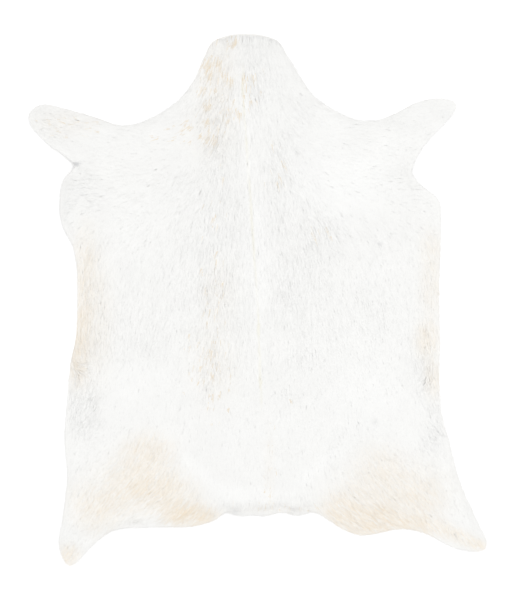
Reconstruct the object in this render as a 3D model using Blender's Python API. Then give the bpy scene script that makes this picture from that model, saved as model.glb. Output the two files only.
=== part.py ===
"""A goatskin laid flat on its flesh side, with the short hair up.

The hide is one sheet: about 1.4 mm of leather and the coat that lies on it, which is deepest along
the back and thin on the legs and at the cut rim. The script lays out the hide's outline from its
landmarks, draws a curved section line from each rim point to the spine, lifts the few places where
the rim doesn't lie down, and gives the sheet its thickness.

The hide lies in the XY plane, +Y towards the neck, +X towards the animal's right side as it is seen
from above, hair towards +Z. The origin is under the middle of its box, on the floor.
"""

from typing import NamedTuple

import bpy
import numpy as np

# Thickness of the sheet, in metres
LEATHER = 0.0014
BACK_COAT = 0.0052
RIM_SHARE = 0.30
RIM_ROUNDING = 0.011

# Unevenness of the coat
TUFT_HEIGHT = 0.0005
TUFT_PITCH = 0.074

# Mesh
STEPS = 3
RINGS = 8
RING_CROWDING = 1.6

# Finish of the coat
IVORY = (0.90, 0.88, 0.83, 1.0)
ROUGHNESS = 0.72

MM = 0.001


class Section(NamedTuple):
    """Where a section line starts on the spine and meets the rims, its bend, and the coat there, in mm."""

    place: str
    left_across: float
    left_along: float
    right_across: float
    right_along: float
    spine_along: float
    bend: float
    coat: float


class Lift(NamedTuple):
    """A place where the sheet rises off the floor: its centre, half widths and height, in mm."""

    place: str
    across: float
    along: float
    half_across: float
    half_along: float
    height: float


# The two ends of the outline on the spine, across and along in mm
NAPE = (-23, 460)
TAIL = (13, -374)

# The spine wanders: its distance across, in mm, at four places along it
SPINE_ALONG = (-374, 0, 370, 460)
SPINE_ACROSS = (13, -1, -27, -23)

NECK = (
    Section("nape edge", -51, 458, 8, 458, 437, 1.5, 4.0),
    Section("nape corner", -79, 447, 36, 448, 424, 1.5, 4.2),
    Section("throat", -91, 425, 50, 425, 396, 1.5, 4.4),
    Section("neck", -105, 391, 70, 391, 361, 1.5, 4.6),
    Section("neck root", -127, 356, 94, 355, 327, 1.5, 4.6),
    Section("shoulder slope", -165, 324, 139, 324, 285, 1.5, 4.0),
    Section("saddle", -228, 301, 186, 308, 243, 1.5, 3.4),
)

FORELEGS = (
    Section("leg top", -280, 316, 231, 320, 216, 1.5, 2.8),
    Section("leg back", -339, 332, 275, 342, 191, 1.5, 2.4),
    Section("toe back", -373, 338, 311, 349, 174, 1.5, 2.2),
    Section("toe", -395, 323, 343, 339, 164, 1.5, 2.0),
    Section("toe front", -393, 303, 336, 320, 153, 1.5, 2.0),
    Section("leg under", -363, 269, 302, 283, 139, 1.5, 2.2),
    Section("elbow", -337, 252, 282, 258, 124, 1.5, 2.2),
    Section("armpit", -317, 231, 266, 221, 105, 1.5, 2.0),
)

FLANKS = (
    Section("brisket", -337, 207, 282, 200, 87, 1.5, 2.2),
    Section("brisket swell", -344, 167, 314, 172, 67, 1.5, 2.6),
    Section("girth", -339, 129, 317, 150, 49, 1.6, 3.0),
    Section("girth back", -318, 86, 316, 96, 29, 1.6, 3.4),
    Section("rib", -311, 18, 313, 18, -3, 1.8, 3.6),
    Section("belly", -316, -68, 314, -77, -48, 1.8, 3.4),
    Section("flank fold", -325, -110, 314, -146, -75, 2.0, 2.8),
    Section("flank", -330, -193, 318, -198, -107, 2.0, 2.2),
)

HIND_LEGS = (
    Section("stifle", -334, -242, 330, -242, -131, 2.0, 2.4),
    Section("thigh", -330, -311, 348, -311, -155, 2.0, 3.0),
    Section("shank", -338, -380, 375, -373, -172, 2.0, 3.0),
    Section("heel", -344, -427, 395, -417, -186, 2.0, 2.6),
    Section("hock tip", -325, -460, 391, -432, -200, 2.0, 2.4),
    Section("hock back", -302, -441, 354, -433, -217, 2.0, 2.8),
    Section("hock bend", -278, -417, 327, -423, -234, 2.0, 3.2),
    Section("haunch", -250, -399, 295, -406, -251, 2.0, 3.6),
)

RUMP = (
    Section("haunch edge", -186, -393, 252, -396, -268, 2.0, 4.2),
    Section("buttock", -117, -392, 179, -407, -286, 2.0, 4.6),
    Section("buttock edge", -79, -383, 145, -395, -304, 2.0, 4.6),
    Section("rump notch", -55, -369, 101, -369, -323, 2.0, 4.4),
    Section("rump edge", -29, -374, 68, -373, -342, 2.0, 4.2),
    Section("tail side", -10, -373, 41, -368, -358, 2.0, 4.0),
)

SECTIONS = NECK + FORELEGS + FLANKS + HIND_LEGS + RUMP

LIFTS = (
    Lift("nape edge", -23, 464, 62, 24, 3.0),
    Lift("left toe", -398, 312, 50, 42, 3.5),
    Lift("right toe", 346, 336, 46, 42, 3.5),
    Lift("left armpit pucker", -336, 236, 58, 50, 5.5),
    Lift("right armpit pucker", 262, 234, 48, 52, 3.5),
    Lift("left belly wave", -332, 20, 42, 88, 3.0),
    Lift("right belly wave", 330, -50, 40, 104, 3.0),
    Lift("left flank pucker", -346, -206, 52, 62, 4.5),
    Lift("right flank pucker", 338, -214, 50, 58, 4.0),
    Lift("left hock", -330, -462, 48, 44, 6.0),
    Lift("right hock", 398, -434, 52, 40, 5.0),
    Lift("left haunch wave", -184, -408, 66, 34, 3.0),
    Lift("left rump pucker", -40, -378, 19, 26, 5.0),
    Lift("right rump pucker", 64, -380, 21, 28, 5.0),
)


def clear_scene():
    for found in list(bpy.data.objects):
        bpy.data.objects.remove(found, do_unlink=True)


def closed_curve(points, steps):
    """A closed centripetal Catmull-Rom curve through the points, with this many steps to each span.

    The slope at a point blends the slopes of the chords beside it, each weighted by the square root
    of the chord's length, so the curve is smooth at even spans and doesn't swing out at short ones.
    """
    before, here, after, beyond = (np.roll(points, turn, axis=0) for turn in (1, 0, -1, -2))
    chords = ((before, here), (here, after), (after, beyond))
    first, span, last = (np.sqrt(np.linalg.norm(b - a, axis=1))[:, None] for a, b in chords)
    leave = after - here + span * ((here - before) / first - (after - before) / (first + span))
    arrive = after - here + span * ((beyond - after) / last - (beyond - here) / (span + last))
    t = (np.arange(steps) / steps)[None, :, None]
    cubic = 2 * (here - after) + leave + arrive
    square = 3 * (after - here) - 2 * leave - arrive
    curve = ((cubic[:, None] * t + square[:, None]) * t + leave[:, None]) * t + here[:, None]
    return curve.reshape(-1, 2)


def outline():
    """The rim as matching rows of left and right points, with the nape and the tail at their ends."""
    left = [(s.left_across, s.left_along) for s in SECTIONS]
    right = [(s.right_across, s.right_along) for s in SECTIONS]
    landmarks = np.array([NAPE, *right, TAIL, *reversed(left)], float) * MM
    rim = closed_curve(landmarks, STEPS)
    middle = (rim.min(axis=0) + rim.max(axis=0)) / 2
    rim = rim - middle
    half = len(rim) // 2
    right_side = rim[: half + 1]
    left_side = np.roll(rim[::-1], 1, axis=0)[: half + 1]
    return left_side, right_side, middle


def along_spine(values):
    """A value for each row of rim points, from one for the nape, one for each section, one for the tail."""
    stations = np.arange((len(values) - 1) * STEPS + 1) / STEPS
    return np.interp(stations, np.arange(len(values)), values)


def section_lines(left_side, right_side, middle):
    """The grid of the sheet: a row for each pair of rim points, from the left rim to the right one.

    A section leaves the spine square to it and bends towards its rim point, as the share of the way
    out to the power of its bend. Its points crowd towards the rim.
    """
    spine_y = along_spine([NAPE[1], *(s.spine_along for s in SECTIONS), TAIL[1]]) * MM
    spine_x = np.interp(spine_y, np.array(SPINE_ALONG) * MM, np.array(SPINE_ACROSS) * MM)
    spine = np.stack([spine_x, spine_y], axis=1) - middle
    bend = along_spine([SECTIONS[0].bend, *(s.bend for s in SECTIONS), SECTIONS[-1].bend])[:, None]
    out = 1 - (np.arange(RINGS + 1) / RINGS) ** RING_CROWDING

    def half(side, shares):
        x = spine[:, :1] + (side[:, :1] - spine[:, :1]) * shares
        y = spine[:, 1:] + (side[:, 1:] - spine[:, 1:]) * shares**bend
        return np.stack([x, y], axis=-1)

    rows = np.concatenate([half(left_side, out), half(right_side, out[::-1][1:])], axis=1)
    shares = np.concatenate([out, out[::-1][1:]])
    return rows[1:-1], shares


def lift_at(points, middle):
    """How far the sheet is off the floor: a soft bump at each lift, and nothing outside them."""
    height = np.zeros(points.shape[:-1])
    for lift in LIFTS:
        centre = np.array([lift.across, lift.along]) * MM - middle
        reach = np.array([lift.half_across, lift.half_along]) * MM
        off = (((points - centre) / reach) ** 2).sum(axis=-1)
        height += lift.height * MM * np.clip(1 - off, 0, 1) ** 2
    return height


def depth_of(points, shares, rim_distance):
    """The sheet's thickness: the leather, and the coat, which thins outwards and is rolled off at the rim."""
    coat = along_spine([SECTIONS[0].coat, *(s.coat for s in SECTIONS), SECTIONS[-1].coat])
    side = coat[1:-1, None] * MM
    full = BACK_COAT + (side - BACK_COAT) * np.abs(shares) ** 1.3
    roll_off = RIM_SHARE + (1 - RIM_SHARE) * (1 - np.exp(-rim_distance / RIM_ROUNDING))
    turn = points * (2 * np.pi / TUFT_PITCH)
    tufts = np.sin(turn[..., 0] + np.sin(turn[..., 1] * 0.6)) * np.sin(turn[..., 1] * 0.8 + 1.0)
    return LEATHER + (full + TUFT_HEIGHT * tufts) * roll_off


def sheet_faces(rows, columns):
    """Quads over the grid, and a fan of triangles to the nape and the tail, all facing the floor."""
    index = np.arange(rows * columns).reshape(rows, columns)
    nape = rows * columns
    tail = nape + 1
    quads = np.stack([index[:-1, :-1], index[:-1, 1:], index[1:, 1:], index[1:, :-1]], axis=-1)
    faces = quads.reshape(-1, 4).tolist()
    faces += [[nape, b, a] for a, b in zip(index[0, :-1].tolist(), index[0, 1:].tolist())]
    faces += [[tail, a, b] for a, b in zip(index[-1, :-1].tolist(), index[-1, 1:].tolist())]
    return faces


def coat_material():
    material = bpy.data.materials.new("goat_hair")
    material.use_nodes = True
    shader = material.node_tree.nodes["Principled BSDF"]
    shader.inputs["Base Color"].default_value = IVORY
    shader.inputs["Roughness"].default_value = ROUGHNESS
    shader.inputs["Metallic"].default_value = 0.0
    return material


def goatskin():
    left_side, right_side, middle = outline()
    grid, shares = section_lines(left_side, right_side, middle)
    ends = np.stack([right_side[0], right_side[-1]])
    flat = np.concatenate([grid.reshape(-1, 2), ends])
    heights = lift_at(flat, middle)
    reach_left = np.linalg.norm(grid - grid[:, :1], axis=-1)
    reach_right = np.linalg.norm(grid - grid[:, -1:], axis=-1)
    depth = depth_of(grid, shares, np.minimum(reach_left, reach_right))
    rim_depth = LEATHER + RIM_SHARE * SECTIONS[0].coat * MM
    depths = np.concatenate([depth.ravel(), [rim_depth, rim_depth]])

    mesh = bpy.data.meshes.new("goatskin")
    points = np.column_stack([flat, heights])
    mesh.from_pydata(points.tolist(), [], sheet_faces(*grid.shape[:2]))
    hide = bpy.data.objects.new("goatskin", mesh)
    bpy.context.collection.objects.link(hide)

    most = float(depths.max())
    depth_group = hide.vertex_groups.new(name="depth")
    for vertex, depth_here in enumerate(depths):
        depth_group.add([vertex], float(depth_here) / most, "REPLACE")
    thickness = hide.modifiers.new("thickness", "SOLIDIFY")
    thickness.thickness = most
    thickness.offset = -1
    thickness.vertex_group = "depth"
    thickness.use_rim = True

    mesh.shade_smooth()
    mesh.materials.append(coat_material())
    return hide


clear_scene()
goatskin()
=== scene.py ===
import math

import bpy
import numpy as np
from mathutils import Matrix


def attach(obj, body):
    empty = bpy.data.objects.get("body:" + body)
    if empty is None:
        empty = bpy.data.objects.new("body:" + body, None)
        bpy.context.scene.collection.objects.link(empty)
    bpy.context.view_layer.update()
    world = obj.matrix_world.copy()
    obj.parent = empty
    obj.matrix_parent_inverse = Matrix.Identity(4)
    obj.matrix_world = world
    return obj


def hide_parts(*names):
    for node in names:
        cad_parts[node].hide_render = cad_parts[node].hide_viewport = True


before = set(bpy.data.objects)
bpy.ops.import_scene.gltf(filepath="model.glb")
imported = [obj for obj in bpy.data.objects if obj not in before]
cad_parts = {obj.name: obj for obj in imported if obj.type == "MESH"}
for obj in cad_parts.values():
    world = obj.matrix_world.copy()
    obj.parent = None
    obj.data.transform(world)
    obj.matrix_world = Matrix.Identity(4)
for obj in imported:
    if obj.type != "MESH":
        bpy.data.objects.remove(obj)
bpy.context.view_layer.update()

# The camera
# It hangs straight above the middle of the hide and looks down, with the neck at the top of the
# picture. The picture is 600 pixels high and takes in a little more than a metre of floor.
PICTURE_LENGTH = 1.0396
SENSOR = 0.036
LENS = 0.085

camera_data = bpy.data.cameras.new("overhead")
camera_data.sensor_width = SENSOR * 1000
camera_data.lens = LENS * 1000
camera = bpy.data.objects.new("overhead", camera_data)
camera.location = (0, 0, PICTURE_LENGTH * LENS / SENSOR)
bpy.context.collection.objects.link(camera)
bpy.context.scene.camera = camera
bpy.context.scene.view_settings.view_transform = "Standard"

# The lights
# A white room lights the hide from all round, and one wide soft box high up on the right lights it a
# little more from there, so that the tufts show.
ROOM_LIGHT = 1.03
BOX_SIZE = 3.0
BOX_PLACE = (0.5, 0.2, 4.3)
BOX_WATTS = 55

room = bpy.data.worlds.new("white room")
room.use_nodes = True
room.node_tree.nodes["Background"].inputs["Color"].default_value = (1, 1, 1, 1)
room.node_tree.nodes["Background"].inputs["Strength"].default_value = ROOM_LIGHT
bpy.context.scene.world = room

box_data = bpy.data.lights.new("soft box", "AREA")
box_data.shape = "SQUARE"
box_data.size = BOX_SIZE
box_data.energy = BOX_WATTS
box = bpy.data.objects.new("soft box", box_data)
box.location = BOX_PLACE
box.rotation_euler = (-box.location).to_track_quat("-Z", "Y").to_euler()
bpy.context.collection.objects.link(box)


class Wire:
    """A socket among a finish's nodes. An expression on wires adds the Math nodes that work it out."""

    def __init__(self, finish, socket):
        self.finish = finish
        self.socket = socket

    def maths(self, operation, first, second):
        return self.finish.node("ShaderNodeMath", {"operation": operation}, {0: first, 1: second})

    def __add__(self, other):
        return self.maths("ADD", self, other)

    def __radd__(self, other):
        return self.maths("ADD", other, self)

    def __sub__(self, other):
        return self.maths("SUBTRACT", self, other)

    def __rsub__(self, other):
        return self.maths("SUBTRACT", other, self)

    def __mul__(self, other):
        return self.maths("MULTIPLY", self, other)

    def __rmul__(self, other):
        return self.maths("MULTIPLY", other, self)

    def __pow__(self, other):
        return self.maths("POWER", self, other)


class Finish:
    """A material that is put together node by node."""

    def __init__(self, name):
        self.material = bpy.data.materials.new(name)
        self.material.use_nodes = True
        self.tree = self.material.node_tree
        self.shader = self.tree.nodes["Principled BSDF"]

    def put(self, socket, value):
        """Links a wire to the socket, or sets the socket to a plain value."""
        if isinstance(value, Wire):
            self.tree.links.new(value.socket, socket)
        else:
            socket.default_value = value

    def node(self, kind, settings, sockets, output=0):
        """Adds a node, sets it up, fills its sockets and returns the wire of one output."""
        made = self.tree.nodes.new(kind)
        for name, value in settings.items():
            setattr(made, name, value)
        for name, value in sockets.items():
            self.put(made.inputs[name], value)
        return Wire(self, made.outputs[output])

    def between(self, share, first, second):
        """A colour that goes from the first to the second as the share goes from 0 to 1."""
        settings = {"data_type": "RGBA", "clamp_factor": True}
        return self.node("ShaderNodeMix", settings, {0: share, 6: first, 7: second}, 2)

    def parts(self, vector):
        """The three numbers of a vector as three wires."""
        split = self.node("ShaderNodeSeparateXYZ", {}, {0: vector}).socket.node
        return [Wire(self, out) for out in split.outputs]

    def surface(self, **sockets):
        """Fills sockets of the Principled shader, given as words joined by underscores."""
        for name, value in sockets.items():
            self.put(self.shader.inputs[name.replace("_", " ")], value)
        return self.material


# The floor
# A plain white floor that is much larger than the hide. It isn't part of the object.
FLOOR_REACH = 12.0
FLOOR_WHITE = (0.93, 0.93, 0.93, 1)

floor_mesh = bpy.data.meshes.new("floor")
floor_corners = FLOOR_REACH * np.array([(-1, -1, 0), (1, -1, 0), (1, 1, 0), (-1, 1, 0)])
floor_mesh.from_pydata(floor_corners.tolist(), [], [(0, 1, 2, 3)])
floor = bpy.data.objects.new("floor", floor_mesh)
floor.location.z = -0.0002
bpy.context.collection.objects.link(floor)
floor_paint = Finish("floor_paint")
floor_mesh.materials.append(floor_paint.surface(Base_Color=FLOOR_WHITE, Roughness=0.9))

# The leather
# One whole goat hide, tanned and softened, about 1.4 mm thick, pale suede on its flesh side. Its
# outline follows the body: neck, forelegs, flanks, hind legs and rump. It is cut, not hemmed.
MM = 0.001
LEATHER = 1.4 * MM
LEAST_INSET = 0.4 * MM
MOST_INSET = 4.0 * MM
NAPE = (-23, 460)
TAIL = (13, -374)
SPINE_ALONG = (-374, 0, 370, 460)
SPINE_ACROSS = (13, -1, -27, -23)

# Section lines from the neck to the tail, in mm: the left rim across and along, the right rim across
# and along, where the line leaves the spine, its bend, and the depth of the coat at the rim.
SECTIONS = np.array(
    [
        # Neck
        (-51, 458, 8, 458, 437, 1.5, 4.0),
        (-79, 447, 36, 448, 424, 1.5, 4.2),
        (-91, 425, 50, 425, 396, 1.5, 4.4),
        (-105, 391, 70, 391, 361, 1.5, 4.6),
        (-127, 356, 94, 355, 327, 1.5, 4.6),
        (-165, 324, 139, 324, 285, 1.5, 4.0),
        (-228, 301, 186, 308, 243, 1.5, 3.4),
        # Forelegs
        (-280, 316, 231, 320, 216, 1.5, 2.8),
        (-339, 332, 275, 342, 191, 1.5, 2.4),
        (-373, 338, 311, 349, 174, 1.5, 2.2),
        (-395, 323, 343, 339, 164, 1.5, 2.0),
        (-393, 303, 336, 320, 153, 1.5, 2.0),
        (-363, 269, 302, 283, 139, 1.5, 2.2),
        (-337, 252, 282, 258, 124, 1.5, 2.2),
        (-317, 231, 266, 221, 105, 1.5, 2.0),
        # Flanks
        (-337, 207, 282, 200, 87, 1.5, 2.2),
        (-344, 167, 314, 172, 67, 1.5, 2.6),
        (-339, 129, 317, 150, 49, 1.6, 3.0),
        (-318, 86, 316, 96, 29, 1.6, 3.4),
        (-311, 18, 313, 18, -3, 1.8, 3.6),
        (-316, -68, 314, -77, -48, 1.8, 3.4),
        (-325, -110, 314, -146, -75, 2.0, 2.8),
        (-330, -193, 318, -198, -107, 2.0, 2.2),
        # Hind legs
        (-334, -242, 330, -242, -131, 2.0, 2.4),
        (-330, -311, 348, -311, -155, 2.0, 3.0),
        (-338, -380, 375, -373, -172, 2.0, 3.0),
        (-344, -427, 395, -417, -186, 2.0, 2.6),
        (-325, -460, 391, -432, -200, 2.0, 2.4),
        (-302, -441, 354, -433, -217, 2.0, 2.8),
        (-278, -417, 327, -423, -234, 2.0, 3.2),
        (-250, -399, 295, -406, -251, 2.0, 3.6),
        # Rump
        (-186, -393, 252, -396, -268, 2.0, 4.2),
        (-117, -392, 179, -407, -286, 2.0, 4.6),
        (-79, -383, 145, -395, -304, 2.0, 4.6),
        (-55, -369, 101, -369, -323, 2.0, 4.4),
        (-29, -374, 68, -373, -342, 2.0, 4.2),
        (-10, -373, 41, -368, -358, 2.0, 4.0),
    ]
)
STATIONS = len(SECTIONS) + 1

# Where the rim is off the floor, in mm: centre across and along, half widths, height
LIFTS = np.array(
    [
        (-23, 464, 62, 24, 3.0),
        (-398, 312, 50, 42, 3.5),
        (346, 336, 46, 42, 3.5),
        (-336, 236, 58, 50, 5.5),
        (262, 234, 48, 52, 3.5),
        (-332, 20, 42, 88, 3.0),
        (330, -50, 40, 104, 3.0),
        (-346, -206, 52, 62, 4.5),
        (338, -214, 50, 58, 4.0),
        (-330, -462, 48, 44, 6.0),
        (398, -434, 52, 40, 5.0),
        (-184, -408, 66, 34, 3.0),
        (-40, -378, 19, 26, 5.0),
        (64, -380, 21, 28, 5.0),
    ]
)


def curve_at(points, place):
    """Points of a closed curve through the given points, at places counted in spans.

    Each span is a cubic. Its slope at a point blends the slopes of the chords beside that point,
    each weighted by the square root of the chord's length.
    """
    span = np.floor(place).astype(int)
    t = (place - span)[..., None]
    before, here, after, beyond = (points[(span + k) % len(points)] for k in (-1, 0, 1, 2))
    chords = ((before, here), (here, after), (after, beyond))
    first, middle, last = (np.sqrt(np.linalg.norm(b - a, axis=-1))[..., None] for a, b in chords)
    leave = after - here + middle * ((here - before) / first - (after - before) / (first + middle))
    arrive = after - here + middle * ((beyond - after) / last - (beyond - here) / (middle + last))
    cubic = 2 * (here - after) + leave + arrive
    square = 3 * (after - here) - 2 * leave - arrive
    return ((cubic * t + square) * t + leave) * t + here


rim_marks = MM * np.concatenate([[NAPE], SECTIONS[:, 2:4], [TAIL], SECTIONS[::-1, 0:2]])
full_rim = curve_at(rim_marks, np.arange(0, len(rim_marks), 1 / 3))
middle_of_box = (full_rim.min(axis=0) + full_rim.max(axis=0)) / 2
rim_marks = rim_marks - middle_of_box


def spine_at(along):
    """How far across the spine is at these places along it."""
    along_marks = MM * np.array(SPINE_ALONG) - middle_of_box[1]
    return np.interp(along, along_marks, MM * np.array(SPINE_ACROSS) - middle_of_box[0])


COMB_ALONG = (-430, -375, -330, -290, -240, -170, -100, -30, 40, 100, 140, 180, 220, 270, 320, 380, 455)
COMB_GAP = 60

# The heading of the hair in degrees, 0 towards the tail and 90 straight out from the spine: a row for
# each place along the back, and a column for each 60 mm outwards.
COMB = np.array(
    [
        (0, 20, 52, 56, 46, 34),
        (0, 20, 52, 56, 46, 33),
        (0, 6, 34, 46, 42, 33),
        (0, 4, 16, 36, 36, 33),
        (0, 3, 8, 20, 30, 33),
        (0, 5, 9, 16, 28, 20),
        (0, 5, 11, 15, 12, 5),
        (0, 5, 11, 15, 10, 4),
        (0, 6, 12, 18, 12, 7),
        (0, 8, 18, 32, 26, 20),
        (0, 10, 26, 46, 52, 52),
        (0, 12, 38, 64, 75, 84),
        (0, 14, 48, 78, 88, 95),
        (0, 24, 70, 86, 90, 97),
        (0, 26, 70, 88, 93, 100),
        (0, 20, 50, 80, 90, 95),
        (2, 14, 30, 60, 80, 90),
    ]
)
WHORLS = ((-304, -112, 2.2), (285, -133, -1.1))
WHORL_REACH = 15


def heading_at(points):
    """The way the hair lies, in radians from the tail's way, outwards positive on the right side.

    It is read off the combing chart, straight between its rows and columns, and turns round each
    whorl by an angle that dies away from its middle.
    """
    across = points[:, 0] - spine_at(points[:, 1])
    column = np.minimum(np.abs(across) / (COMB_GAP * MM), COMB.shape[1] - 1)
    marks = MM * np.array(COMB_ALONG)
    heading = np.zeros(len(points))
    for k, headings in enumerate(COMB.T):
        heading += np.clip(1 - np.abs(column - k), 0, 1) * np.interp(points[:, 1], marks, headings)
    heading = np.radians(heading) * np.sign(across)
    for across_mark, along_mark, turn in WHORLS:
        off = np.linalg.norm(points - (MM * across_mark, MM * along_mark), axis=1)
        heading += turn * np.exp(-((off / (WHORL_REACH * MM)) ** 2))
    return heading


def towards(heading):
    """Unit steps over the floor for headings: 0 is the tail's way, and positive is to the right."""
    return np.stack([np.sin(heading), -np.cos(heading)], axis=-1)


def drawn_in(points, least, most):
    """A closed row of rim points, clockwise, moved inwards, so that the hair's tips make the outline.

    Each moves square to the line through its neighbours, by least where the hair lies along the rim
    or inwards, and by up to most where it points straight out.
    """
    along = np.roll(points, -1, axis=0) - np.roll(points, 1, axis=0)
    outwards = np.stack([-along[:, 1], along[:, 0]], axis=1)
    outwards = outwards / np.linalg.norm(outwards, axis=1)[:, None]
    facing = (towards(heading_at(points)) * outwards).sum(axis=1)
    by = least + (most - least) * np.clip(facing, 0, 1)
    return points - by[:, None] * outwards


cut_marks = drawn_in(rim_marks, LEAST_INSET, MOST_INSET)


def at_station(station, nape, column, tail):
    """A column of the section table at any stations: 0 is the nape, and STATIONS is the tail."""
    values = np.concatenate([[nape], SECTIONS[:, column], [tail]])
    return np.interp(station, np.arange(STATIONS + 1), values)


def hide_at(station, share, marks=cut_marks):
    """Points of the hide, seen from above.

    The station counts section lines from the nape to the tail. The share goes from -1 at the left
    rim, through 0 at the spine, to 1 at the right rim. A section leaves the spine square to it, and
    its distance along grows as the share to the power of its bend.
    """
    rim = curve_at(marks, np.where(share < 0, -station, station) % len(marks))
    start_y = MM * at_station(station, NAPE[1], 4, TAIL[1]) - middle_of_box[1]
    nape_to_tail = marks[[STATIONS, 0], 1]
    start_y = np.clip(start_y, *nape_to_tail)
    start = np.stack([spine_at(start_y), start_y], axis=-1)
    bend = at_station(station, SECTIONS[0, 5], 5, SECTIONS[-1, 5])
    out = np.abs(share)
    return start + (rim - start) * np.stack([out, out**bend], axis=-1)


def lift_at(points):
    """How far the hide is off the floor: a soft bump at each lift, and nothing outside them."""
    height = np.zeros(points.shape[:-1])
    for across, along, half_across, half_along, high in LIFTS * MM:
        centre = np.array([across, along]) - middle_of_box
        off = (((points - centre) / (half_across, half_along)) ** 2).sum(axis=-1)
        height += high * np.clip(1 - off, 0, 1) ** 2
    return height


SKIN_ROWS = 6 * STATIONS
SKIN_COLUMNS = 48
SKIN_CROWDING = 1.5
NAP = 0.12 * MM


def skin_surface():
    """The points of one face of the leather: rows of sections, then the nape and the tail."""
    steps = np.linspace(-1, 1, SKIN_COLUMNS + 1)
    shares = np.sign(steps) * (1 - (1 - np.abs(steps)) ** SKIN_CROWDING)
    stations = np.linspace(0, STATIONS, SKIN_ROWS + 1)[1:-1]
    rows = hide_at(*np.meshgrid(stations, shares, indexing="ij"))
    return np.concatenate([rows.reshape(-1, 2), cut_marks[[0, STATIONS]]])


def skin_faces():
    """Quads over the rows of one face, and the triangles that close it at the nape and the tail."""
    rows, columns = SKIN_ROWS - 1, SKIN_COLUMNS + 1
    index = np.arange(rows * columns).reshape(rows, columns)
    corners = (index[1:, :-1], index[1:, 1:], index[:-1, 1:], index[:-1, :-1])
    quads = np.stack(corners, axis=-1).reshape(-1, 4)
    nape, tail = rows * columns, rows * columns + 1
    first, last = index[0], index[-1]
    fans = [np.stack([np.full(columns - 1, nape), first[:-1], first[1:]], axis=1)]
    fans.append(np.stack([np.full(columns - 1, tail), last[1:], last[:-1]], axis=1))
    rim = np.concatenate([[nape], index[:, -1], [tail], index[::-1, 0]])
    return quads, np.concatenate(fans), rim


def nap_at(points):
    """The flesh side's softness: low ripples of three sizes that cross one another."""
    x, y = points[..., 0], points[..., 1]
    long = np.sin(x / 0.021 + 1.3 * np.sin(y / 0.034)) * np.sin(y / 0.027 + 0.7)
    short = np.sin(x / 0.0062 + 2.0 * np.sin(y / 0.011)) * np.sin(y / 0.0071 + 1.9 * np.sin(x / 0.013))
    return 0.6 * long + 0.4 * short


skin_flat = skin_surface()
skin_quads, skin_fans, skin_rim = skin_faces()
skin_low = lift_at(skin_flat) + NAP * (1 + nap_at(skin_flat))
skin_high = lift_at(skin_flat) + LEATHER
layer = len(skin_flat)
skin_points = np.concatenate(
    [np.column_stack([skin_flat, skin_low]), np.column_stack([skin_flat, skin_high])]
)
skin_next = np.roll(skin_rim, -1)
skin_edge = np.stack([skin_rim, skin_rim + layer, skin_next + layer, skin_next], axis=1)
skin_parts = (
    (skin_quads + layer, 1),
    (skin_fans[:, ::-1] + layer, 1),
    (skin_quads[:, ::-1], 0),
    (skin_fans, 0),
    (skin_edge, 2),
)
skin_all = [face for faces, _ in skin_parts for face in faces.tolist()]
skin_finishes = np.concatenate([np.full(len(faces), finish) for faces, finish in skin_parts])

leather_mesh = bpy.data.meshes.new("leather")
leather_mesh.from_pydata(skin_points.tolist(), [], skin_all)
leather_mesh.shade_smooth()
leather_mesh.set_sharp_from_angle(angle=math.radians(50))
leather = bpy.data.objects.new("leather", leather_mesh)
bpy.context.collection.objects.link(leather)

SUEDE = (0.74, 0.69, 0.60, 1)
SUEDE_WORN = (0.66, 0.60, 0.50, 1)
SUEDE_PALE = (0.80, 0.77, 0.70, 1)
PALE_SKIN = (0.78, 0.77, 0.745, 1)
PALE_SKIN_GREY = (0.72, 0.71, 0.69, 1)
CUT_EDGE = (0.70, 0.68, 0.64, 1)


def leather_finish(name, low, middle, high):
    """Leather in three tones that cloud into each other, with creases and a short felted pile."""
    leather_nodes = Finish(name)
    place = leather_nodes.node("ShaderNodeTexCoord", {}, {}, "Object")
    clouds = leather_nodes.node("ShaderNodeTexNoise", {}, {"Vector": place, "Scale": 9, "Detail": 4})
    fibres = leather_nodes.node("ShaderNodeTexNoise", {}, {"Vector": place, "Scale": 900, "Detail": 3})
    creases = leather_nodes.node("ShaderNodeTexNoise", {}, {"Vector": place, "Scale": 55, "Detail": 5})
    tone = leather_nodes.between(clouds * 1.9 - 0.45, low, middle)
    tone = leather_nodes.between(creases * 2.2 - 0.75, tone, high)
    bump_sockets = {"Strength": 0.35, "Distance": 0.0006, "Height": fibres * 0.5 + creases}
    bump = leather_nodes.node("ShaderNodeBump", {}, bump_sockets)
    material = leather_nodes.surface(Base_Color=tone, Roughness=0.78 + 0.15 * fibres, Normal=bump)
    material.diffuse_color = middle
    return material


leather_mesh.materials.append(leather_finish("suede", SUEDE_WORN, SUEDE, SUEDE_PALE))
leather_mesh.materials.append(leather_finish("hair_side", PALE_SKIN_GREY, PALE_SKIN, PALE_SKIN))
leather_mesh.materials.append(leather_finish("cut_edge", CUT_EDGE, CUT_EDGE, PALE_SKIN_GREY))
leather_mesh.polygons.foreach_set("material_index", skin_finishes.astype(np.int32))

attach(leather, "root")
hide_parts("goatskin")

# The coat
# Short, sleek guard hair over pale skin. It lies the way it grew: from the neck to the tail along the
# back, outwards over the shoulders, down the legs and across the thighs. Its tips make the outline.
BACK_COAT = 5.2 * MM
FLANK_OUT = 330 * MM
DEPTH_FALL = 1.3
RIM_SHARE = 0.30
RIM_ROUNDING = 11 * MM
RIM_REACH = 60 * MM

# The locks: their number, their lengths against the depth of the coat, and how they rise
LOCKS = 312_000
LEAST_LENGTH = 6.0 * MM
LENGTH_TO_DEPTH = 3.7
LOCK_TURN = math.radians(3)
SIDE_BEND = 0.05
TIP_STRAY = 1.2 * MM
ROOT_RISE = 0.04
MIDDLE = 0.36
SLEEK_RISE = 1.00
LOOSE_RISE = 0.94
TIP_RISE = 0.95
UNDERWOOL_EVERY = 6
UNDERWOOL_WIDTH = 1.6 * MM

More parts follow.
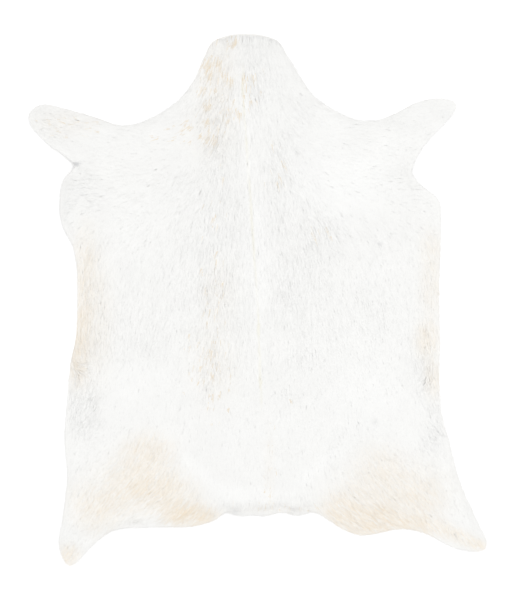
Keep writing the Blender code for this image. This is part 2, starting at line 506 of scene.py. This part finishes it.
# The tufts: how far apart, how far each turns away from the comb, and how far in they draw together
TUFT_GAP = 3.6 * MM
TUFT_TURN = math.radians(4)
TUFT_SWAY = math.radians(9)
SWAY_SIZE = 30 * MM
TUFTS_FROM_RIM = 20 * MM

# The colours: where along a lock they are read, the sizes of clouds and streaks, and the line and the
# paler band down the spine
SEEN = 0.65
SMALL_CLOUDS = 18 * MM
LARGE_CLOUDS = 45 * MM
FINE_STREAKS = 1.3 * MM
BROAD_STREAKS = 2.4 * MM
LINE_WIDTH = 2.2 * MM
BAND_WIDTH = 7 * MM
LINE_FROM = -200 * MM
LINE_TO = 410 * MM
LINE_FADES_IN = 50 * MM
LINE_FADES_OUT = 30 * MM
dice = np.random.default_rng(7)
outline = curve_at(rim_marks, np.arange(0, len(rim_marks), 0.25))


def to_outline(points):
    """For each point, how far inside the outline it is, and which way the outline faces there.

    A point's foot on a side is its distance along the side, held between the side's two ends. The
    nearest foot counts, and a point on the side that the outline faces is outside, so less than 0.
    """
    step = np.roll(outline, -1, axis=0) - outline
    size = (step**2).sum(axis=1)
    along = ((points[:, None] - outline) * step).sum(axis=2) / size
    off = points[:, None] - outline - np.clip(along, 0, 1)[..., None] * step
    nearest = (off**2).sum(axis=2).argmin(axis=1)
    off = off[np.arange(len(points)), nearest]
    facing = (np.stack([-step[:, 1], step[:, 0]], axis=1) / np.sqrt(size)[:, None])[nearest]
    return -np.sign((off * facing).sum(axis=1)) * np.linalg.norm(off, axis=1), facing


def near_outline(points, reach):
    """As to_outline, but a point that is further in than the reach is only said to be that far."""
    distance = np.full(len(points), reach)
    facing = np.zeros((len(points), 2))
    to_marks = np.abs(points[:, None] - outline[::2]).max(axis=2).min(axis=1)
    close = np.flatnonzero(to_marks < reach + 30 * MM)
    for some in np.array_split(close, len(close) // 8000 + 1):
        distance[some], facing[some] = to_outline(points[some])
    return np.minimum(distance, reach), facing


# Places of the coat's colours and of the light and shade painted into it, in mm: centre across and along,
# half widths, turn in degrees, strength
TAN_PLACES = (
    # Left thigh and hock
    (-190, -262, 44, 30, 0, 0.42),
    (-218, -312, 62, 44, 0, 0.42),
    (-160, -334, 60, 40, -25, 0.48),
    (-118, -374, 50, 20, -4, 0.85),
    (-240, -352, 66, 34, 10, 0.34),
    (-290, -366, 34, 50, 30, 0.30),
    (-329, -443, 22, 20, 0, 0.50),
    # Right thigh and hock
    (226, -338, 100, 54, 8, 0.36),
    (192, -386, 68, 28, 4, 0.74),
    (146, -358, 44, 24, 24, 0.40),
    (212, -284, 44, 34, 0, 0.22),
    (270, -394, 60, 22, -10, 0.42),
    (284, -344, 44, 30, -40, 0.22),
    (336, -404, 60, 14, -24, 0.42),
    (380, -424, 18, 10, -20, 0.45),
    # Flanks, left and right
    (-300, 53, 22, 74, 0, 0.34),
    (-310, -51, 20, 62, 0, 0.50),
    (-312, -120, 20, 36, 0, 0.45),
    (-280, -34, 30, 108, 0, 0.20),
    (300, 87, 20, 36, 0, 0.22),
    (300, 18, 22, 52, 0, 0.22),
    (294, -70, 22, 34, 0, 0.40),
    (304, -138, 18, 36, 0, 0.30),
    # Neck, left foreleg and the left of the back
    (-74, 390, 36, 60, 0, 0.16),
    (-80, 290, 50, 60, 0, 0.09),
    (-335, 308, 50, 26, 0, 0.12),
    (-66, 15, 32, 52, 0, 0.10),
    (-76, -112, 42, 72, 0, 0.11),
    (20, -300, 10, 66, 0, 0.10),
    (30, -362, 76, 8, 0, 0.08),
)
SMOKE_AND_SHADOW_PLACES = (
    # Neck and withers
    (-79, 339, 31, 112, 0, 0.28),
    (-1, 375, 24, 52, 0, 0.48),
    (-76, 257, 24, 26, 0, 0.55),
    (34, 226, 18, 46, 0, 0.34),
    # Back
    (-77, 105, 74, 260, 0, 0.21),
    (78, 113, 62, 190, 0, 0.28),
    (-77, 113, 34, 54, 0, 0.18),
    (-73, 14, 36, 36, 0, 0.28),
    (-79, -125, 27, 44, 0, 0.26),
    (-86, -181, 17, 20, 0, 0.26),
    (103, 116, 46, 27, -25, 0.36),
    (50, 27, 24, 54, 0, 0.26),
    (80, -108, 34, 20, 20, 0.30),
    (51, -172, 17, 21, 0, 0.34),
    (-221, -68, 60, 68, 0, 0.20),
    (190, -20, 40, 60, 0, 0.14),
    # Legs, armpits and flanks
    (-345, 304, 54, 28, 20, 0.55),
    (-309, 179, 34, 44, 0, 0.85),
    (285, 205, 24, 28, 0, 0.60),
    (-296, 18, 26, 68, 0, 0.28),
    (-302, -90, 28, 50, 0, 0.46),
    (-304, -181, 32, 58, 0, 1.0),
    (290, -146, 26, 66, 0, 0.48),
    (282, 321, 60, 24, 15, 0.30),
    (312, -216, 22, 50, -16, 1.0),
    (308, 60, 13, 90, 0, 0.12),
    # Whorls, nicks and small dark spots; at the rump's left rim, painted shadow under the lifted edge
    (-304, -112, 8, 9, 0, 0.30),
    (285, -133, 7, 9, 0, 0.30),
    (204, -214, 6, 8, 0, 0.60),
    (-216, -387, 14, 6, 0, 0.90),
)
# Small dark places: painted shadow in the notch below the left armpit and in the two folds at the rump's
# edge; the rest are dark spots in the hair, at grey tufts, the whorls and the rump's left rim
DARK_PLACES = (
    (-315, 235, 7, 4, 20, 0.9),
    (212, 93, 5, 5, 0, 0.45),
    (204, -214, 5, 6, 0, 0.22),
    (284, -134, 6, 6, 0, 0.10),
    (-303, -112, 7, 6, 0, 0.08),
    (-39, -367, 6, 4, 0, 0.35),
    (64, -364, 6, 4, 0, 0.35),
    (-136, -394, 9, 2, 0, 0.25),
)
WHITE_PLACES = (
    (142, 198, 94, 68, 0, 0.90),
    (230, 261, 42, 30, 0, 0.55),
    (134, 286, 48, 38, 0, 0.30),
    (198, 48, 38, 34, 0, 0.45),
    (190, -174, 70, 64, 0, 0.50),
    (-216, -156, 64, 42, 0, 0.32),
    (-221, 122, 60, 60, 0, 0.16),
    (0, 96, 20, 100, 0, 0.70),
    # A paler band in a U across the rump: partly whiter hair, partly painted light where the hide swells a
    # little
    (-113, -292, 62, 13, -45, 0.70),
    (-13, -340, 60, 14, 0, 0.80),
    (105, -294, 60, 14, 40, 0.65),
    (0, -240, 90, 60, 0, 0.25),
    (-318, -311, 13, 60, 0, 0.15),
    (336, -318, 14, 74, 16, 0.20),
    (310, 316, 54, 40, 0, 0.40),
)
# Where the coat is smooth, with few streaks
SLEEK_PLACES = (
    (0, -250, 150, 90, 0, 1.0),
    (-150, 262, 90, 40, 0, 0.8),
    (190, -180, 110, 80, 0, 0.9),
    (180, 230, 120, 80, 0, 0.8),
    (-200, -170, 90, 60, 0, 0.6),
    (-330, 310, 70, 40, 0, 0.7),
    (-309, 179, 46, 58, 0, 1.0),
    (300, 320, 70, 40, 0, 0.7),
)
# Where shade is painted into the coat, making it a little less bright: along the rim at the nape, the left
# foreleg, both flanks, the hind legs and the rump, and in the shadow line below the left armpit notch
PAINTED_SHADE_PLACES = (
    (-22, 446, 82, 38, 0, 0.40),
    (-340, 322, 74, 26, 0, 0.30),
    (-326, -110, 16, 124, 0, 0.40),
    (322, -226, 17, 54, -16, 0.45),
    (-220, -402, 110, 14, 0, 0.42),
    (230, -410, 130, 12, 0, 0.15),
    (-334, 180, 16, 46, 0, 0.42),
    (-338, -330, 10, 90, 0, 0.20),
    (354, -318, 12, 110, 16, 0.32),
)

# Where whole tufts are ginger, with the share of them that are as the strength
GINGER_PLACES = (
    # Spots on the neck
    (-89, 403, 9, 11, 0, 1.0),
    (-71, 403, 10, 10, 0, 1.0),
    (-82, 440, 9, 5, 20, 0.8),
    (-43, 442, 9, 9, 0, 0.7),
    (-50, 436, 6, 6, 0, 0.5),
    (-84, 382, 5, 12, 0, 0.8),
    (-60, 388, 9, 7, -25, 0.7),
    (-47, 375, 8, 8, 0, 0.6),
    (-24, 378, 6, 7, 0, 0.9),
    (-22, 361, 6, 9, 0, 0.8),
    (-9, 368, 7, 7, 0, 0.5),
    (-96, 358, 9, 6, 0, 0.8),
    (-73, 359, 5, 5, 0, 0.7),
    (-89, 333, 7, 9, 0, 0.7),
    (-50, 322, 8, 7, 0, 0.7),
    (-35, 319, 6, 6, 0, 0.6),
    (-93, 306, 7, 8, 0, 0.6),
    (-120, 295, 9, 6, 0, 0.6),
    (-100, 280, 8, 7, 0, 0.7),
    (-82, 271, 13, 9, 0, 0.9),
    # Sprinkled on the neck, back and legs
    (-70, 339, 40, 80, 0, 0.07),
    (-13, 365, 18, 36, 0, 0.06),
    (-117, 292, 60, 22, 14, 0.10),
    (-82, 148, 26, 40, 0, 0.07),
    (-79, 10, 34, 44, 0, 0.12),
    (-79, -121, 34, 94, 0, 0.10),
    (105, 115, 26, 14, 0, 0.09),
    (53, -176, 18, 18, 0, 0.10),
    (34, 217, 18, 44, 0, 0.06),
    (20, -300, 10, 60, 0, 0.12),
    (30, -361, 76, 8, 0, 0.09),
    (-325, 304, 52, 22, 0, 0.08),
)


def tinted(points, places):
    """How strongly each point is tinted: a soft bump at each place, the places laid over one another."""
    clear = np.ones(len(points))
    for across, along, half_across, half_along, turn, strength in places:
        x, y = (points + middle_of_box - MM * np.array([across, along])).T
        c, s = math.cos(math.radians(turn)), math.sin(math.radians(turn))
        off = ((c * x + s * y) / (MM * half_across)) ** 2 + ((c * y - s * x) / (MM * half_along)) ** 2
        clear = clear * (1 - strength * np.exp(-1.1 * off**1.4))
    return 1 - clear


def drift(points, size):
    """Slow random change from -1 to 1: random heights at the corners of a grid of squares.

    Between the corners the heights are blended by a smooth step across the square and along it.
    """
    place = points / size + 100
    corner = np.floor(place).astype(int)
    x, y = (place - corner).T
    x, y = x * x * (3 - 2 * x), y * y * (3 - 2 * y)
    heights = dice.uniform(-1, 1, corner.max(axis=0) + 2)
    i, j = corner.T
    near = heights[i, j] * (1 - x) + heights[i + 1, j] * x
    far = heights[i, j + 1] * (1 - x) + heights[i + 1, j + 1] * x
    return near * (1 - y) + far * y


def combed(points, size, steps):
    """Random change in thin streaks along the hair, spread as a bell curve round 0.

    Random heights of a fine grid are summed along the lie of the hair, as many steps both ways.
    """
    heights = dice.standard_normal((900, 900))
    way = towards(heading_at(points))
    total = np.zeros(len(points))
    for step in range(-steps, steps + 1):
        i, j = ((points + step * size * way) / size + 450).astype(int).T
        total += heights[i, j]
    return total / math.sqrt(2 * steps + 1)


def root_places(count):
    """Stations and shares of roots, as many to each square centimetre everywhere.

    The hide is cut into cells by station and share. Cells get roots by their areas, and the roots of
    a cell are spread over it by steps of the golden ratio.
    """
    stations = np.linspace(0, STATIONS, 8 * STATIONS + 1)
    shares = np.linspace(-1, 1, 81)
    corner = hide_at(*np.meshgrid(stations, shares, indexing="ij"))
    one = corner[1:, 1:] - corner[:-1, :-1]
    two = corner[1:, :-1] - corner[:-1, 1:]
    area = 0.5 * np.abs(one[..., 0] * two[..., 1] - one[..., 1] * two[..., 0]).ravel()
    rising = np.cumsum(area)
    cell = np.searchsorted(rising, (np.arange(count) + 0.5) / count * rising[-1])
    row, column = np.divmod(cell, len(shares) - 1)
    down = (np.arange(count) * 0.7548776662 + 0.35 * dice.random(count)) % 1
    over = (np.arange(count) * 0.5698402910 + 0.35 * dice.random(count)) % 1
    return stations[row] + down * stations[1], shares[column] + over * (shares[1] - shares[0])


def tuft_of(points):
    """The tuft that each root belongs to: the nearest of the tuft middles, one to a cell, thrown about."""
    low = points.min(axis=0) - 2 * TUFT_GAP
    cells = ((points.max(axis=0) + 2 * TUFT_GAP - low) / TUFT_GAP).astype(int) + 1
    grid = np.stack(np.meshgrid(np.arange(cells[0]), np.arange(cells[1]), indexing="ij"), axis=-1)
    middles = low + (grid + dice.random(grid.shape)) * TUFT_GAP
    home = ((points - low) / TUFT_GAP).astype(int)
    best = np.full(len(points), np.inf)
    tuft = np.zeros(len(points), int)
    for step in np.ndindex(3, 3):
        near = home + np.array(step) - 1
        off = np.linalg.norm(points - middles[near[:, 0], near[:, 1]], axis=1)
        tuft = np.where(off < best, near[:, 0] * cells[1] + near[:, 1], tuft)
        best = np.minimum(off, best)
    return tuft, middles.reshape(-1, 2)


def thinned(distance):
    """The share of the coat's depth at distances from the outline, which falls off towards the rim."""
    return 1 - (1 - RIM_SHARE) * np.exp(-np.maximum(distance, 0) / RIM_ROUNDING)


def grown_locks():
    """All the locks of the coat: their shares, their points, five to a lock, and their colours.

    A lock is a thin flat blade. It rises from its root on the leather to the top of the coat at its
    middle, and lies over the next locks from there to its tip, lower where its tip is near the rim.
    It bends sideways as the square of the way along it, and its tip is drawn towards the tip of its
    tuft. None reaches past the outline by more than a stray hair. Every sixth lock is wider and lower
    and fills the gaps between the others, as underwool does.

    The coat is streaky where it is smoky or tan and smooth where it is sleek. In its streaks the locks
    lie deeper and turn more, and in the gaps between streaks they are darker, with shade painted into
    their colour. A lock's tint is its shares of tan, of smoky grey with painted shadow, and of ginger,
    and its look is its tone, which holds painted shade, its share of white and its share of the line
    down the spine.
    """
    station, share = root_places(LOCKS)
    root = hide_at(station, share)
    tuft, tuft_middles = tuft_of(root)
    tufts = len(tuft_middles)
    tuft_turn = TUFT_TURN * dice.standard_normal(tufts) + TUFT_SWAY * drift(tuft_middles, SWAY_SIZE)
    tuft_pull = dice.uniform(0.10, 0.45, tufts)
    tuft_groove = dice.random(tufts)
    tuft_tone = dice.random(tufts)
    tuft_smoke = dice.random(tufts)
    tuft_ginger = dice.random(tufts)

    side_depth = MM * at_station(station, SECTIONS[0, 6], 6, SECTIONS[-1, 6])
    outwards = np.minimum(np.abs(root[:, 0] - spine_at(root[:, 1])) / FLANK_OUT, 1)
    full = BACK_COAT + (side_depth - BACK_COAT) * outwards**DEPTH_FALL
    distance = near_outline(root, RIM_REACH)[0]
    heading = heading_at(root) + tuft_turn[tuft] + LOCK_TURN * dice.standard_normal(LOCKS)
    way = towards(heading)
    side = np.stack([-way[:, 1], way[:, 0]], axis=-1)
    length = (LEAST_LENGTH + LENGTH_TO_DEPTH * full) * dice.uniform(0.7, 1.15, LOCKS)
    stray = TIP_STRAY * dice.uniform(-1, 1, LOCKS)
    for _ in range(3):
        tip_inside, tip_facing = near_outline(root + way * length[:, None], 5 * MM)
        steepness = np.clip((way * tip_facing).sum(axis=1), 0.35, 1)
        length = length + np.minimum(tip_inside + stray, 0) / steepness
    length = np.maximum(length, LEAST_LENGTH / 3)
    tip_distance = near_outline(root + way * length[:, None], RIM_REACH)[0]

    seen = root + way * (SEEN * length)[:, None]
    mottle = drift(seen, SMALL_CLOUDS) + 0.7 * drift(seen, LARGE_CLOUDS)
    smoke_and_shadow = tinted(seen, SMOKE_AND_SHADOW_PLACES) * (1 + 0.28 * mottle)
    white = tinted(seen, WHITE_PLACES)
    off_spine = np.abs(seen[:, 0] - spine_at(seen[:, 1]))
    tan = tinted(seen, TAN_PLACES)
    streaky = np.clip(0.16 + 1.1 * smoke_and_shadow + 0.55 * tan - 0.7 * tinted(seen, SLEEK_PLACES), 0, 1)
    fine = combed(seen, FINE_STREAKS, 5)
    gap = np.clip(-0.75 * fine - 0.55 * combed(seen, BROAD_STREAKS, 4) - 0.2, 0, 1.4)
    groove = 1.01 - (0.01 + 0.12 * streaky) * tuft_groove[tuft] - (0.01 + 0.10 * streaky) * gap
    depth_at_root = full * thinned(distance) * groove
    depth_at_tip = full * thinned(tip_distance) * groove
    width = dice.uniform(0.5, 1.3, LOCKS) * (1.5 - 0.5 * streaky) * MM
    side_bend = dice.normal(0, SIDE_BEND, LOCKS) * length
    roll = np.radians(2 + 9 * streaky) * dice.standard_normal(LOCKS)
    reach = 1 - (0.03 + 0.17 * streaky) * dice.random(LOCKS)
    underwool = np.arange(LOCKS) % UNDERWOOL_EVERY == 0
    reach = np.where(underwool, 0.93 - 0.13 * streaky, reach)
    width = np.where(underwool, UNDERWOOL_WIDTH, width)
    tuft_way = towards(heading_at(tuft_middles) + tuft_turn)
    tuft_tip = tuft_middles[tuft] + tuft_way[tuft] * length[:, None]
    pull = tuft_pull[tuft] * np.clip(distance / TUFTS_FROM_RIM, 0, 1)
    drawn = (tuft_tip - root - way * length[:, None]) * pull[:, None]

    points = np.zeros((LOCKS, 5, 3))
    middle_rise = SLEEK_RISE - (SLEEK_RISE - LOOSE_RISE) * streaky
    rows = (
        (0.0, ROOT_RISE, 0.6, (0, 1)),
        (MIDDLE, middle_rise, 1.0, (2, 3)),
        (1.0, TIP_RISE, 0.0, (4,)),
    )
    for t, rise, broad, corners in rows:
        flat = root + way * (length * t)[:, None] + side * (side_bend * t**2)[:, None] + drawn * t**1.6
        depth = depth_at_root + (depth_at_tip - depth_at_root) * t
        high = lift_at(flat) + LEATHER + depth * reach * rise
        for corner in corners:
            half = width * broad * (corner % 2 - 0.5)
            points[:, corner, :2] = flat + side * (half * np.cos(roll))[:, None]
            points[:, corner, 2] = high + half * np.sin(roll)
    points[..., 2] = np.maximum(points[..., 2], 0.1 * MM)

    tan_share = 0.42 + 0.35 * tuft_tone[tuft] + 0.3 * dice.random(LOCKS)
    tan_share = tan_share + 0.14 * mottle - 0.16 * fine
    tan = np.maximum(1.22 * tan * tan_share, 0)
    ginger = (tuft_ginger[tuft] < tinted(seen, GINGER_PLACES)) * dice.uniform(0.1, 0.75, LOCKS)
    down_back = np.clip((seen[:, 1] - LINE_FROM) / LINE_FADES_IN, 0, 1)
    down_back = down_back * np.clip((LINE_TO - seen[:, 1]) / LINE_FADES_OUT, 0, 1)
    line = np.exp(-((off_spine / LINE_WIDTH) ** 2)) * down_back * (0.75 + 0.4 * mottle)
    white = np.maximum(white, 0.6 * np.exp(-((off_spine / BAND_WIDTH) ** 2)) * down_back)
    # Painted shade: in the gaps between streaks, where the locks lie deeper, they get more smoky grey and
    # a lower tone
    streak = 0.22 + 0.60 * gap + 0.70 * (0.5 * tuft_smoke[tuft] + 0.5 * dice.random(LOCKS)) ** 2
    lock_tone = 0.4 * tuft_tone[tuft] + 0.6 * dice.random(LOCKS) - 0.5
    tone = 0.3 + 0.9 * streaky + (0.2 + 0.5 * streaky) * lock_tone
    tone = tone - 0.12 * mottle - (0.04 + 0.30 * streaky) * (gap - 0.3)
    # Painted shade: the tone is lowered at the places where shade is painted into the coat
    tone = tone - 0.9 * tinted(seen, PAINTED_SHADE_PLACES)
    # Painted shadow in the notch and the rump's folds, with the dark spots, is added to the smoky grey
    # share
    shadow_and_spots = 5 * tinted(seen, DARK_PLACES)
    tints = np.stack([tan, smoke_and_shadow * streak + shadow_and_spots, ginger], axis=-1)
    looks = np.stack([tone, white, line], axis=-1)
    return share, points, tints, looks


IVORY = (0.865, 0.864, 0.850, 1)
WHITE = (0.898, 0.899, 0.888, 1)
CREAM = (0.85, 0.836, 0.755, 1)
TAN = (0.832, 0.732, 0.59, 1)
SMOKE_AND_SHADOW_GREY = (0.56, 0.562, 0.568, 1)
GINGER = (0.77, 0.645, 0.46, 1)

coat_finish = Finish("goat_hair")
tan_part, smoke_and_shadow_part, ginger_part = coat_finish.parts(
    coat_finish.node("ShaderNodeAttribute", {"attribute_name": "tint"}, {}, "Vector")
)
tone_part, white_part, line_part = coat_finish.parts(
    coat_finish.node("ShaderNodeAttribute", {"attribute_name": "look"}, {}, "Vector")
)
strand_map = coat_finish.node("ShaderNodeUVMap", {"uv_map": "strand"}, {})
strands = coat_finish.node("ShaderNodeTexNoise", {}, {"Vector": strand_map, "Scale": 1.0, "Detail": 2})

coat_colour = coat_finish.between(white_part, IVORY, WHITE)
coat_colour = coat_finish.between(line_part, coat_colour, CREAM)
coat_colour = coat_finish.between(tan_part, coat_colour, TAN)
# The smoky grey share mixes in the grey hair and the painted shadows alike
coat_colour = coat_finish.between(smoke_and_shadow_part * 0.2, coat_colour, SMOKE_AND_SHADOW_GREY)
coat_colour = coat_finish.between(ginger_part, coat_colour, GINGER)
coat_value = 0.848 + 0.07 * tone_part + 0.015 * (strands - 0.5)
coat_colour = coat_finish.node(
    "ShaderNodeVectorMath", {"operation": "SCALE"}, {0: coat_colour, "Scale": coat_value}
)
strand_bump = coat_finish.node(
    "ShaderNodeBump", {}, {"Strength": 0.15, "Distance": 0.0001, "Height": strands}
)
hair_material = coat_finish.surface(
    Base_Color=coat_colour,
    Roughness=0.50 + 0.2 * strands,
    Normal=strand_bump,
)
hair_material.diffuse_color = IVORY

LOCK_CORNERS = np.array([0, 1, 3, 2, 2, 3, 4])
LOCK_FACE_SIZES = (4, 3)
STRAND_MAP = np.array([(0, 0), (5, 0), (0, 1.5), (5, 1.5), (2.5, 3)])


def coat_piece(name, locks, points, tints, looks):
    """A mesh of blades, a quad and a triangle each, with their tints on their points.

    The baking map is the piece seen from above, stretched to fill the map. The strand map runs up
    each blade, at a place of its own.
    """
    count = len(locks)
    loops = (5 * np.arange(count)[:, None] + LOCK_CORNERS).ravel()
    sizes = np.tile(LOCK_FACE_SIZES, count)
    places = points[locks].reshape(-1, 3)
    mesh = bpy.data.meshes.new(name)
    mesh.vertices.add(len(places))
    mesh.vertices.foreach_set("co", places.astype(np.float32).ravel())
    mesh.loops.add(len(loops))
    mesh.loops.foreach_set("vertex_index", loops.astype(np.int32))
    mesh.polygons.add(len(sizes))
    mesh.polygons.foreach_set("loop_start", (np.cumsum(sizes) - sizes).astype(np.int32))
    for attribute, values in (("tint", tints), ("look", looks)):
        column = mesh.attributes.new(attribute, "FLOAT_VECTOR", "POINT")
        column.data.foreach_set("vector", np.repeat(values[locks], 5, axis=0).astype(np.float32).ravel())
    low, high = places[:, :2].min(axis=0), places[:, :2].max(axis=0)
    seen = (places[:, :2] - low) / (high - low)
    spots = 7.0 * np.stack(np.divmod(np.arange(count), 500), axis=-1)
    strand = (STRAND_MAP + spots[:, None]).reshape(-1, 2)
    for map_name, values in (("OFBake", seen), ("strand", strand)):
        made = mesh.uv_layers.new(name=map_name)
        made.data.foreach_set("uv", values[loops].astype(np.float32).ravel())
    mesh.update()
    mesh.shade_smooth()
    mesh.materials.append(hair_material)
    piece = bpy.data.objects.new(name, mesh)
    bpy.context.collection.objects.link(piece)
    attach(piece, "root")
    return piece


lock_share, lock_points, lock_tints, lock_looks = grown_locks()

# The coat is six strips from left to right, by how far out from the spine the locks have their roots
STRIPS = (
    ("left_outer", -1.0, -0.72),
    ("left_middle", -0.72, -0.38),
    ("left_inner", -0.38, 0.0),
    ("right_inner", 0.0, 0.38),
    ("right_middle", 0.38, 0.72),
    ("right_outer", 0.72, 1.0),
)
for strip, first_share, last_share in STRIPS:
    chosen = np.flatnonzero((lock_share >= first_share) & (lock_share < last_share))
    coat_piece(f"coat_{strip}", chosen, lock_points, lock_tints, lock_looks)

cut_rim = curve_at(cut_marks, np.arange(0, len(cut_marks), 0.25))
cut_next = np.roll(cut_rim, -1, axis=0)
cut_area = 0.5 * abs((cut_rim[:, 0] * cut_next[:, 1] - cut_rim[:, 1] * cut_next[:, 0]).sum())
width, length = cut_rim.max(axis=0) - cut_rim.min(axis=0)
